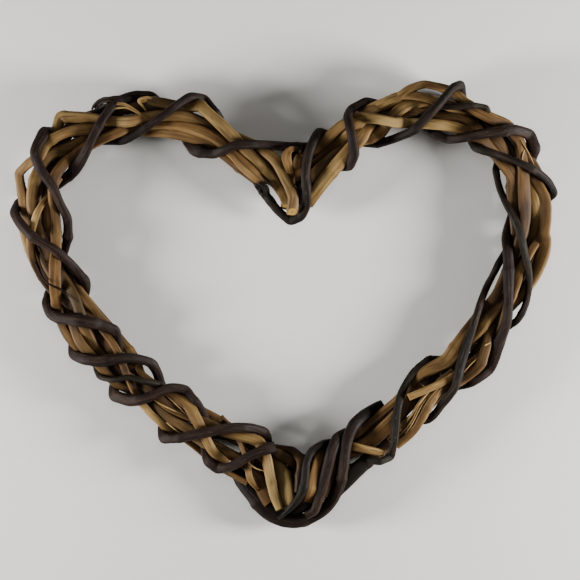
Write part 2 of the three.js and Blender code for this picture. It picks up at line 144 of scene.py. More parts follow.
darkFinish = {
    "hues": [(0.62, "#241f15"), (0.86, "#1b130e"), (1.1, "#271814")], "hueDrift": 0.8,
    "wrinkleAcross": 0.8, "wrinkleAlong": 14, "patchAcross": 7, "patchAlong": 34,
    "worn": "#4b3b2e", "wornPatch": 0.3, "wornFrom": 0.64, "wornTo": 0.86, "wornMost": 0.8,
    "pore": "#5e4f41", "poreAcross": 2.2, "poreAlong": 6, "poreFrom": 0.1, "poreTo": 0.2, "poreMost": 0.3,
    "oldest": 0.25, "freshest": 1.15,
    "creviceReach": 5, "creviceShade": 0.3, "deepShade": 0.66,
    "roughness": 0.55, "smoother": 0.08, "rougher": 0.16,
    "poreRelief": 0.6, "bump": 0.85, "bumpDepth": 0.5, "specular": 0.13,
}
cutFinish = {
    "pith": "#5d3d20", "wood": "#a8843f", "rim": "#6b4b26", "radius": 3,
    "pithTo": 0.1, "woodFrom": 0.22, "woodTo": 0.75, "ring": 0.55, "ringRelief": 0.08,
    "speck": 0.5, "wornFrom": 0.45, "wornTo": 0.75, "wornMost": 0.7,
    "bump": 0.6, "bumpDepth": 0.3, "roughness": 0.7,
}
# Where in its streaks or wrinkles a finish is smoothest and roughest
sheen = {"smoothAt": 0.3, "roughAt": 0.7}


def peeledWillow(add):
    # peeled buff willow, boiled and stripped: satin golden tan, fibres that run along it, brown water stains
    look = buffFinish
    tone = add("ShaderNodeAttribute", output="Fac", attribute_type="GEOMETRY", attribute_name="tone")
    hue = add("ShaderNodeAttribute", output="Fac", attribute_type="GEOMETRY", attribute_name="hue")
    fibre = grain(add, look["fibreAcross"], look["fibreAlong"], detail=4.0)
    streak = grain(add, look["streakAcross"], look["streakAlong"], detail=2.0)
    patch = grain(add, look["patchAcross"], look["patchAlong"], distortion=0.4)
    level = tone
    for noise, share in ((fibre, look["fibrous"]), (streak, look["streaky"]), (patch, look["patchy"])):
        level = add("ShaderNodeMath", {0: noise, 1: share, 2: level}, operation="MULTIPLY_ADD")
    middle = (look["fibrous"] + look["streaky"] + look["patchy"]) / 2
    level = add("ShaderNodeMath", {0: level, 1: middle}, operation="SUBTRACT")
    colour = add("ShaderNodeValToRGB", {"Fac": level}, stops=look["tones"])
    tint = add("ShaderNodeValToRGB", {"Fac": hue}, stops=look["hues"])
    off = add("ShaderNodeMath", {0: hue, 1: look["plainHue"]}, operation="SUBTRACT")
    off = add("ShaderNodeMath", {0: off}, operation="ABSOLUTE")
    colour = add("ShaderNodeMix", {"Factor_Float": off, "A_Color": colour, "B_Color": tint},
                 output="Result_Color", data_type="RGBA")
    stained = add("ShaderNodeMapRange", {
        "Value": grain(add, look["stainAcross"], look["stainAlong"], detail=4.0, distortion=0.6),
        "From Min": look["stainFrom"], "From Max": look["stainTo"], "To Max": look["stained"],
    })
    colour = add("ShaderNodeMix", {
        "Factor_Float": stained, "A_Color": colour, "B_Color": srgb(look["stain"]),
    }, output="Result_Color", data_type="RGBA")
    # painted shade: the colour is multiplied by the painted crevice and depth shade
    colour = add("ShaderNodeMix", {"Factor_Float": 1.0, "A_Color": colour, "B_Color": rodShade(add, look)},
                 output="Result_Color", data_type="RGBA", blend_type="MULTIPLY")
    rough = add("ShaderNodeMapRange", {
        "Value": streak, "From Min": sheen["smoothAt"], "From Max": sheen["roughAt"],
        "To Min": look["roughness"] - look["smoother"], "To Max": look["roughness"] + look["rougher"],
    })
    relief = add("ShaderNodeMath", {0: streak, 1: look["streakRelief"], 2: fibre}, operation="MULTIPLY_ADD")
    bump = add("ShaderNodeBump", {
        "Height": relief, "Strength": look["bump"], "Distance": look["bumpDepth"] * mm,
    })
    return add("ShaderNodeBsdfPrincipled", {
        "Base Color": colour, "Roughness": rough, "Normal": bump, "Specular IOR Level": look["specular"],
        "Coat Weight": look["coat"], "Coat Roughness": look["coatRoughness"],
    })


def barkWillow(add):
    # dark willow in its bark: near-black purple brown, satin, with lengthwise wrinkles and pale pores
    look = darkFinish
    tone = add("ShaderNodeAttribute", output="Fac", attribute_type="GEOMETRY", attribute_name="tone")
    hue = add("ShaderNodeAttribute", output="Fac", attribute_type="GEOMETRY", attribute_name="hue")
    wrinkle = grain(add, look["wrinkleAcross"], look["wrinkleAlong"], detail=4.0)
    patch = grain(add, look["patchAcross"], look["patchAlong"], distortion=0.5)
    kind = add("ShaderNodeMath", {0: patch, 1: look["hueDrift"], 2: hue}, operation="MULTIPLY_ADD")
    colour = add("ShaderNodeValToRGB", {"Fac": kind}, stops=look["hues"])
    worn = add("ShaderNodeMath", {0: patch, 1: look["wornPatch"], 2: wrinkle}, operation="MULTIPLY_ADD")
    worn = add("ShaderNodeMapRange", {
        "Value": worn, "From Min": look["wornFrom"], "From Max": look["wornTo"], "To Max": look["wornMost"],
    })
    colour = add("ShaderNodeMix", {"Factor_Float": worn, "A_Color": colour, "B_Color": srgb(look["worn"])},
                 output="Result_Color", data_type="RGBA")
    rod = add("ShaderNodeAttribute", output="Vector", attribute_type="GEOMETRY", attribute_name="rodSpace")
    across, along = look["poreAcross"] * mm, look["poreAlong"] * mm
    place = add("ShaderNodeMapping", {"Vector": rod, "Scale": (1 / across, 1 / across, 1 / along)})
    cells = add("ShaderNodeTexVoronoi", {"Vector": place, "Scale": 1.0}, output="Distance")
    pores = add("ShaderNodeMapRange", {
        "Value": cells, "From Min": look["poreFrom"], "From Max": look["poreTo"],
        "To Min": look["poreMost"], "To Max": 0.0,
    })
    colour = add("ShaderNodeMix", {"Factor_Float": pores, "A_Color": colour, "B_Color": srgb(look["pore"])},
                 output="Result_Color", data_type="RGBA")
    # painted shade: the painted crevice and depth shade, scaled by the rod's tone, multiplies the colour
    age = add("ShaderNodeMapRange", {"Value": tone, "To Min": look["oldest"], "To Max": look["freshest"]})
    shade = add("ShaderNodeVectorMath", {0: rodShade(add, look), "Scale": age}, operation="SCALE")
    colour = add("ShaderNodeMix", {"Factor_Float": 1.0, "A_Color": colour, "B_Color": shade},
                 output="Result_Color", data_type="RGBA", blend_type="MULTIPLY")
    rough = add("ShaderNodeMapRange", {
        "Value": wrinkle, "From Min": sheen["smoothAt"], "From Max": sheen["roughAt"],
        "To Min": look["roughness"] - look["smoother"], "To Max": look["roughness"] + look["rougher"],
    })
    relief = add("ShaderNodeMath", {0: pores, 1: look["poreRelief"], 2: wrinkle}, operation="MULTIPLY_ADD")
    bump = add("ShaderNodeBump", {
        "Height": relief, "Strength": look["bump"], "Distance": look["bumpDepth"] * mm,
    })
    return add("ShaderNodeBsdfPrincipled", {
        "Base Color": colour, "Roughness": rough, "Normal": bump, "Specular IOR Level": look["specular"],
    })


def cutWillow(add):
    # the cut end of a rod: pale raw wood with faint rings round a brown pith
    look = cutFinish
    rod = add("ShaderNodeAttribute", output="Vector", attribute_type="GEOMETRY", attribute_name="rodSpace")
    flat = add("ShaderNodeVectorMath", {0: rod, 1: (1.0, 1.0, 0.0)}, operation="MULTIPLY")
    across = add("ShaderNodeVectorMath", {0: flat}, output="Value", operation="LENGTH")
    rings = add("ShaderNodeMath", {0: across, 1: 2 * math.pi / (look["ring"] * mm)}, operation="MULTIPLY")
    rings = add("ShaderNodeMath", {0: rings}, operation="SINE")
    share = add("ShaderNodeMath", {0: across, 1: 1 / (look["radius"] * mm)}, operation="MULTIPLY")
    colour = add("ShaderNodeValToRGB", {"Fac": share}, stops=[
        (look["pithTo"], look["pith"]), (look["woodFrom"], look["wood"]), (look["woodTo"], look["wood"]),
        (1.0, look["rim"]),
    ])
    speck = add("ShaderNodeTexNoise", {"Vector": rod, "Scale": 1 / (look["speck"] * mm), "Detail": 3.0})
    worn = add("ShaderNodeMath", {0: rings, 1: look["ringRelief"], 2: speck}, operation="MULTIPLY_ADD")
    worn = add("ShaderNodeMapRange", {
        "Value": worn, "From Min": look["wornFrom"], "From Max": look["wornTo"], "To Max": look["wornMost"],
    })
    colour = add("ShaderNodeMix", {"Factor_Float": worn, "A_Color": colour, "B_Color": srgb(look["rim"])},
                 output="Result_Color", data_type="RGBA")
    bump = add("ShaderNodeBump", {
        "Height": speck, "Strength": look["bump"], "Distance": look["bumpDepth"] * mm,
    })
    return add("ShaderNodeBsdfPrincipled", {
        "Base Color": colour, "Roughness": look["roughness"], "Normal": bump,
    })


finishes = {
    "buff": newMaterial("peeledBuffWillow", peeledWillow),
    "dark": newMaterial("darkWillowBark", barkWillow),
    "cut": newMaterial("cutWillowEnd", cutWillow),
}
print("finishes made")


# the rod tree: sweeps a rod along its path, squares and creases its section, roughens it and closes its ends
# Heights and lengths are in mm
rodSizes = {
    "buff": {
        "Sides": 22, "Squareness": 0.66, "Lump": 0.2, "Lump length": 20.0, "Ridge": 0.1, "Ridge length": 40.0,
    },
    "dark": {
        "Sides": 20, "Squareness": 0.86, "Lump": 0.26, "Lump length": 12.0, "Ridge": 0.14,
        "Ridge length": 16.0,
    },
    "splinter": {
        "Sides": 6, "Squareness": 0.9, "Lump": 0.1, "Lump length": 6.0, "Ridge": 0.0, "Ridge length": 8.0,
    },
}
# What all rods share, in mm: how far apart lumps and ridges lie across a rod, the crease's width, the length
# over which it wanders, and how far it wanders, as a multiple of the rod's radius
rodRelief = {
    "lumpAcross": 4.0, "ridgeAcross": 1.3, "creaseWidth": 0.6, "creaseLength": 26, "creaseWander": 3.0,
}
# What every point of a path carries. The name radius alone belongs to Blender's own curves.
pathValues = ("rodRadius", "wide", "thin", "slant", "groove", "along", "offset", "tone", "hue")
keptAttributes = ("rodSpace", "tone", "hue", "position", "material_index", "sharp_face", "sharp_edge")


def makeRodTree():
    tree = bpy.data.node_groups.new("willowRod", "GeometryNodeTree")
    add = partial(addNode, tree)
    face = tree.interface
    face.new_socket("Geometry", in_out="INPUT", socket_type="NodeSocketGeometry")
    face.new_socket("Sides", in_out="INPUT", socket_type="NodeSocketInt")
    for name in ("Squareness", "Lump", "Lump length", "Ridge", "Ridge length"):
        face.new_socket(name, in_out="INPUT", socket_type="NodeSocketFloat")
    face.new_socket("Skin", in_out="INPUT", socket_type="NodeSocketMaterial")
    face.new_socket("Cut end", in_out="INPUT", socket_type="NodeSocketMaterial")
    face.new_socket("Geometry", in_out="OUTPUT", socket_type="NodeSocketGeometry")
    given = add("NodeGroupInput", output=None).outputs
    value = {
        name: add("GeometryNodeInputNamedAttribute", {"Name": name}, data_type="FLOAT") for name in pathValues
    }
    side, centre, heading = (
        add("GeometryNodeInputNamedAttribute", {"Name": name}, data_type="FLOAT_VECTOR")
        for name in ("side", "centre", "heading")
    )

    curve = add("GeometryNodeMeshToCurve", {"Mesh": given["Geometry"]})
    curve = add("GeometryNodeSetCurveNormal", {"Curve": curve, "Normal": side}, mode="FREE")
    circle = add("GeometryNodeCurvePrimitiveCircle", {"Resolution": given["Sides"], "Radius": 1.0})
    swept = add("GeometryNodeCurveToMesh", {
        "Curve": curve, "Profile Curve": circle, "Scale": value["rodRadius"], "Fill Caps": True,
    })

    # where each point lies in the rod's own straightened space: across, up and along
    spot = add("GeometryNodeInputPosition")
    radial = add("ShaderNodeVectorMath", {0: spot, 1: centre}, operation="SUBTRACT")
    lift = add("ShaderNodeVectorMath", {0: heading, 1: side}, operation="CROSS_PRODUCT")
    measured = []
    for direction, stretch in ((side, value["wide"]), (lift, value["thin"])):
        amount = add("ShaderNodeVectorMath", {0: radial, 1: direction},
                     output="Value", operation="DOT_PRODUCT")
        share = add("ShaderNodeMath", {0: amount, 1: value["rodRadius"]}, operation="DIVIDE")
        size = add("ShaderNodeMath", {0: share}, operation="ABSOLUTE")
        size = add("ShaderNodeMath", {0: size, 1: given["Squareness"]}, operation="POWER")
        sign = add("ShaderNodeMath", {0: share}, operation="SIGN")
        share = add("ShaderNodeMath", {0: size, 1: sign}, operation="MULTIPLY")
        reach = add("ShaderNodeMath", {0: value["rodRadius"], 1: stretch}, operation="MULTIPLY")
        measured.append(add("ShaderNodeMath", {0: share, 1: reach}, operation="MULTIPLY"))
    length = add("ShaderNodeMath", {0: value["along"], 1: value["offset"]}, operation="ADD")
    straight = add("ShaderNodeCombineXYZ", {"X": measured[0], "Y": measured[1], "Z": length})
    stored = add("GeometryNodeStoreNamedAttribute", {
        "Geometry": swept, "Name": "rodSpace", "Value": straight,
    }, data_type="FLOAT_VECTOR", domain="POINT")

    # squared section, back in place round the path
    rodSpace = add("GeometryNodeInputNamedAttribute", {"Name": "rodSpace"}, data_type="FLOAT_VECTOR")
    parts = add("ShaderNodeSeparateXYZ", {"Vector": rodSpace}, output=None).outputs
    sideways = add("ShaderNodeVectorMath", {0: side, "Scale": parts["X"]}, operation="SCALE")
    upward = add("ShaderNodeVectorMath", {0: lift, "Scale": parts["Y"]}, operation="SCALE")
    offset = add("ShaderNodeVectorMath", {0: sideways, 1: upward}, operation="ADD")
    outward = add("ShaderNodeVectorMath", {0: offset}, operation="NORMALIZE")

    # lumps and long ridges
    push = 0.0
    for name, across in (("Lump", rodRelief["lumpAcross"]), ("Ridge", rodRelief["ridgeAcross"])):
        along = add("ShaderNodeMath", {0: 1 / mm, 1: given[name + " length"]}, operation="DIVIDE")
        scale = add("ShaderNodeCombineXYZ", {"X": 1 / (across * mm), "Y": 1 / (across * mm), "Z": along})
        place = add("ShaderNodeVectorMath", {0: rodSpace, 1: scale}, operation="MULTIPLY")
        noise = add("ShaderNodeTexNoise", {"Vector": place, "Scale": 1.0, "Detail": 1.0})
        noise = add("ShaderNodeMath", {0: noise, 1: 0.5}, operation="SUBTRACT")  # now from -0.5 to 0.5
        tall = add("ShaderNodeMath", {0: given[name], 1: 2 * mm}, operation="MULTIPLY")
        push = add("ShaderNodeMath", {0: noise, 1: tall, 2: push}, operation="MULTIPLY_ADD")

    # the crease where a rod has split or dried in: a valley that wanders along it
    wandering = (0.0, 0.0, 1 / (rodRelief["creaseLength"] * mm))
    wander = add("ShaderNodeVectorMath", {0: rodSpace, 1: wandering}, operation="MULTIPLY")
    wander = add("ShaderNodeTexNoise", {"Vector": wander, "Scale": 1.0, "Detail": 0.0})
    wander = add("ShaderNodeMath", {0: wander, 1: 0.5}, operation="SUBTRACT")
    wander = add("ShaderNodeMath", {0: wander, 1: value["rodRadius"]}, operation="MULTIPLY")
    wander = add("ShaderNodeMath", {
        0: wander, 1: -rodRelief["creaseWander"], 2: parts["X"],
    }, operation="MULTIPLY_ADD")
    valley = add("ShaderNodeMath", {0: wander, 1: 1 / (rodRelief["creaseWidth"] * mm)}, operation="MULTIPLY")
    valley = add("ShaderNodeMath", {0: valley, 1: valley}, operation="MULTIPLY")
    valley = add("ShaderNodeMath", {0: math.exp(-1), 1: valley}, operation="POWER")
    valley = add("ShaderNodeMath", {0: valley, 1: value["groove"]}, operation="MULTIPLY")
    push = add("ShaderNodeMath", {0: push, 1: valley}, operation="SUBTRACT")

    # slanted at its ends, and never below the surface that it lies on
    slanted = add("ShaderNodeMath", {0: parts["Y"], 1: value["slant"]}, operation="MULTIPLY")
    slanted = add("ShaderNodeVectorMath", {0: heading, "Scale": slanted}, operation="SCALE")
    relief = add("ShaderNodeVectorMath", {0: outward, "Scale": push}, operation="SCALE")
    place = centre
    for step in (offset, relief, slanted):
        place = add("ShaderNodeVectorMath", {0: place, 1: step}, operation="ADD")
    place = add("ShaderNodeVectorMath", {0: place, 1: (-1.0, -1.0, 0.0)}, operation="MAXIMUM")
    shaped = add("GeometryNodeSetPosition", {"Geometry": stored, "Position": place})

    # the two end faces are the only ones with more than four corners
    corners = add("GeometryNodeInputMeshFaceNeighbors", output="Vertex Count")
    ends = add("FunctionNodeCompare", {"A_INT": corners, "B_INT": 4},
               data_type="INT", operation="GREATER_THAN")
    soft = add("FunctionNodeBooleanMath", {0: ends}, operation="NOT")
    smooth = add("GeometryNodeSetShadeSmooth", {"Geometry": shaped, "Shade Smooth": soft})
    whole = add("GeometryNodeRealizeInstances", {"Geometry": smooth})
    skinned = add("GeometryNodeSetMaterial", {"Geometry": whole, "Material": given["Skin"]})
    finished = add("GeometryNodeSetMaterial", {
        "Geometry": skinned, "Selection": ends, "Material": given["Cut end"],
    })
    add("NodeGroupOutput", {"Geometry": finished}, output=None)
    return tree


rodTree = makeRodTree()


def sweepRods(name, paths, kind, skin, cut="cut"):
    # runs the tree over one or more paths and hands back the result as a plain mesh object
    mesh = bpy.data.meshes.new(name)
    edges, start = [], 0
    for path in paths:
        count = len(path["centre"])
        edges += [(start + i, start + i + 1) for i in range(count - 1)]
        start += count
    mesh.from_pydata([tuple(point) for path in paths for point in path["centre"]], edges, [])
    for key in pathValues:
        values = np.concatenate([np.broadcast_to(path[key], len(path["centre"])) for path in paths])
        mesh.attributes.new(key, "FLOAT", "POINT").data.foreach_set("value", values.astype(np.float32))
    for key in ("side", "heading", "centre"):
        values = np.concatenate([path[key] for path in paths]).astype(np.float32)
        mesh.attributes.new(key, "FLOAT_VECTOR", "POINT").data.foreach_set("vector", values.ravel())
    line = bpy.data.objects.new(name + "_path", mesh)
    bpy.context.scene.collection.objects.link(line)
    modifier = line.modifiers.new("rod", "NODES")
    modifier.node_group = rodTree
    inputs = dict(rodSizes[kind])
    inputs["Skin"] = finishes[skin]
    inputs["Cut end"] = finishes[cut]
    for socket in rodTree.interface.items_tree:
        if socket.in_out == "INPUT" and socket.name in inputs:
            modifier[socket.identifier] = inputs[socket.name]
    whole = bpy.data.meshes.new_from_object(line.evaluated_get(bpy.context.evaluated_depsgraph_get()))
    bpy.data.objects.remove(line)
    whole.name = name
    for layer in [a.name for a in whole.attributes if a.name not in keptAttributes and not a.is_internal]:
        if not layer.startswith("."):
            whole.attributes.remove(whole.attributes[layer])
    piece = bpy.data.objects.new(name, whole)
    bpy.context.scene.collection.objects.link(piece)
    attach(piece, "root")
    return piece


# paths, read back from the solids
# A solid rod: its sides, how much further one corner of an end may lie from its middle than another, how
# nearly alike the directions of two triangles of one flat end are, and how near in mm two corners are one
solidRod = {"sides": 6, "roundness": 1.35, "sameFace": 0.9999, "weld": 0.002}


def endCap(mesh):
    # the corners of one end face: triangles in one plane whose corners lie on a circle
    sides = solidRod["sides"]
    mesh.faces.ensure_lookup_table()
    for face in mesh.faces:
        group, queue = {face}, [face]
        while queue:
            here = queue.pop()
            for edge in here.edges:
                for other in edge.link_faces:
                    if other not in group and here.normal.dot(other.normal) > solidRod["sameFace"]:
                        group.add(other)
                        queue.append(other)
        corners = {v for f in group for v in f.verts}
        if len(group) != sides - 2 or len(corners) != sides:
            continue
        middle = sum((v.co for v in corners), Vector()) / sides
        reach = [(v.co - middle).length for v in corners]
        if max(reach) < solidRod["roundness"] * min(reach):
            return corners
    raise ValueError("no end face")


def solidRings(node):
    # centres and radii of a solid rod's rings, from its thick end to its thin end
    mesh = bmesh.new()
    mesh.from_mesh(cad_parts[node].data)
    bmesh.ops.remove_doubles(mesh, verts=mesh.verts, dist=solidRod["weld"] * mm)
    mesh.normal_update()
    ring = endCap(mesh)
    seen, rings = set(ring), []
    while ring:
        middle = sum((v.co for v in ring), Vector()) / len(ring)
        rings.append((tuple(middle), max((v.co - middle).length for v in ring)))
        ring = {edge.other_vert(v) for v in ring for edge in v.link_edges} - seen
        seen |= ring
    mesh.free()
    if rings[0][1] < rings[-1][1]:
        rings.reverse()
    return np.array([middle for middle, radius in rings]), np.array([radius for middle, radius in rings])


# Where a rod kinks: slack gives the turn in degrees where its line begins to kink, the turn where it is fully
# kinked, and the ease left there. The section is bent from the first of the turns on and fully at the second,
# within a reach in mm.
kink = {"slack": (14, 60, 0.42), "turns": (20, 65), "reach": 3.2}


def bentPath(knots, radii, step, slack=kink["slack"]):
    # a line through the knots that eases round a slight turn and runs straight up to a sharp one
    spans = np.diff(knots, axis=0)
    lengths = np.linalg.norm(spans, axis=1)
    ways = spans / lengths[:, None]
    headings = np.vstack([ways[:1], ways[:-1] + ways[1:], ways[-1:]])
    headings /= np.linalg.norm(headings, axis=1)[:, None]
    turns = np.degrees(np.arccos(np.clip((ways[:-1] * ways[1:]).sum(axis=1), -1, 1)))
    turns = np.concatenate([[0.0], turns, [0.0]])
    ease = np.interp(turns, slack[:2], (1.0, slack[2]))
    points, radius = [], []
    for i, length in enumerate(lengths):
        count = max(2, round(length / step))
        t = (np.arange(count + (i == len(lengths) - 1)) / count)[:, None]
        points.append(
            (2 * t ** 3 - 3 * t ** 2 + 1) * knots[i] + (3 * t ** 2 - 2 * t ** 3) * knots[i + 1]
            + (t ** 3 - 2 * t ** 2 + t) * headings[i] * length * ease[i]
            + (t ** 3 - t ** 2) * headings[i + 1] * length * ease[i + 1])
        radius.append(radii[i] + (radii[i + 1] - radii[i]) * t[:, 0])
    points, radius = np.concatenate(points), np.concatenate(radius)
    bend = np.zeros(len(points))
    for knot, turn in zip(knots, turns):
        gone = np.linalg.norm(points - knot, axis=1)
        near = np.exp(-(gone / (kink["reach"] * mm)) ** 2)
        bend = np.maximum(bend, np.interp(turn, kink["turns"], (0, 1)) * near)
    return points, radius, bend


levelPull = 0.35  # how much of the way back to level a path's sideways direction turns at each point
nearZero = 1e-6
grainShift = 0.37  # metres of grain between one seed and the next
seedRange = (1, 400)


def makePath(points, radius, seed, **values):
    # a path with its heading, a sideways direction that stays as level as it can, and its values
    heading = np.gradient(points, axis=0)
    heading /= np.linalg.norm(heading, axis=1)[:, None]
    side = np.zeros_like(points)
    last = None
    for i, way in enumerate(heading):
        level = np.cross((0.0, 0.0, 1.0), way)
        size = np.linalg.norm(level)
        level = level / max(size, nearZero)
        if last is None:
            now = level if size > nearZero else np.array((1.0, 0.0, 0.0))
        else:  # a steep stretch is turned less, because level is less certain there
            now = last + (level - last) * min(1.0, size * 2) * levelPull
        now = now - way * now.dot(way)
        last = side[i] = now / np.linalg.norm(now)
    steps = np.linalg.norm(np.diff(points, axis=0), axis=1)
    path = {
        "centre": points, "rodRadius": radius, "heading": heading, "side": side,
        "along": np.concatenate([[0.0], np.cumsum(steps)]), "offset": seed * grainShift,
        "wide": 1.0, "thin": 1.0, "slant": 0.0, "groove": 0.0, "tone": 0.5, "hue": 0.5,
    }
    path.update(values)
    return path


# How the rods of a finish are made up, lengths in mm: the spacing of their rings, how wide and thin the
# section is, how much the radius varies, how far the flat of a rod rolls, how deep its crease is, how far
# apart its nodes are, and how much paler or darker their scars are
common = {
    "buff": {
        "step": 1.2, "wide": 1.3, "thin": 0.86, "swell": 0.035, "roll": 0.3, "groove": 0.24,
        "nodes": (34, 60), "scar": (-0.25, 0.05),
    },
    "dark": {
        "step": 1.1, "wide": 1.17, "thin": 1.02, "swell": 0.045, "roll": 0.1, "groove": 0.12,
        "nodes": (26, 44), "scar": (-0.25, 0.3),
    },
}
# How every rod grows, lengths in mm and pairs drawn at random between their two numbers
growth = {
    "tone": 0.4, "hue": (0.3, 0.7), "slant": 0.3, "endReach": 3,
    "waves": 3, "waveLength": (22, 60), "waveShare": 0.5, "phase": (0, 6.28), "rollLength": (30, 60),
    "firstNode": (8, 30), "endRoom": 6, "nodeReach": 1.7, "nodeSwell": (0.05, 0.16),
    "creaseDepth": (0.3, 1.0), "kinkCrease": 0.6, "kinkWide": 0.16, "kinkThin": 0.22,
}
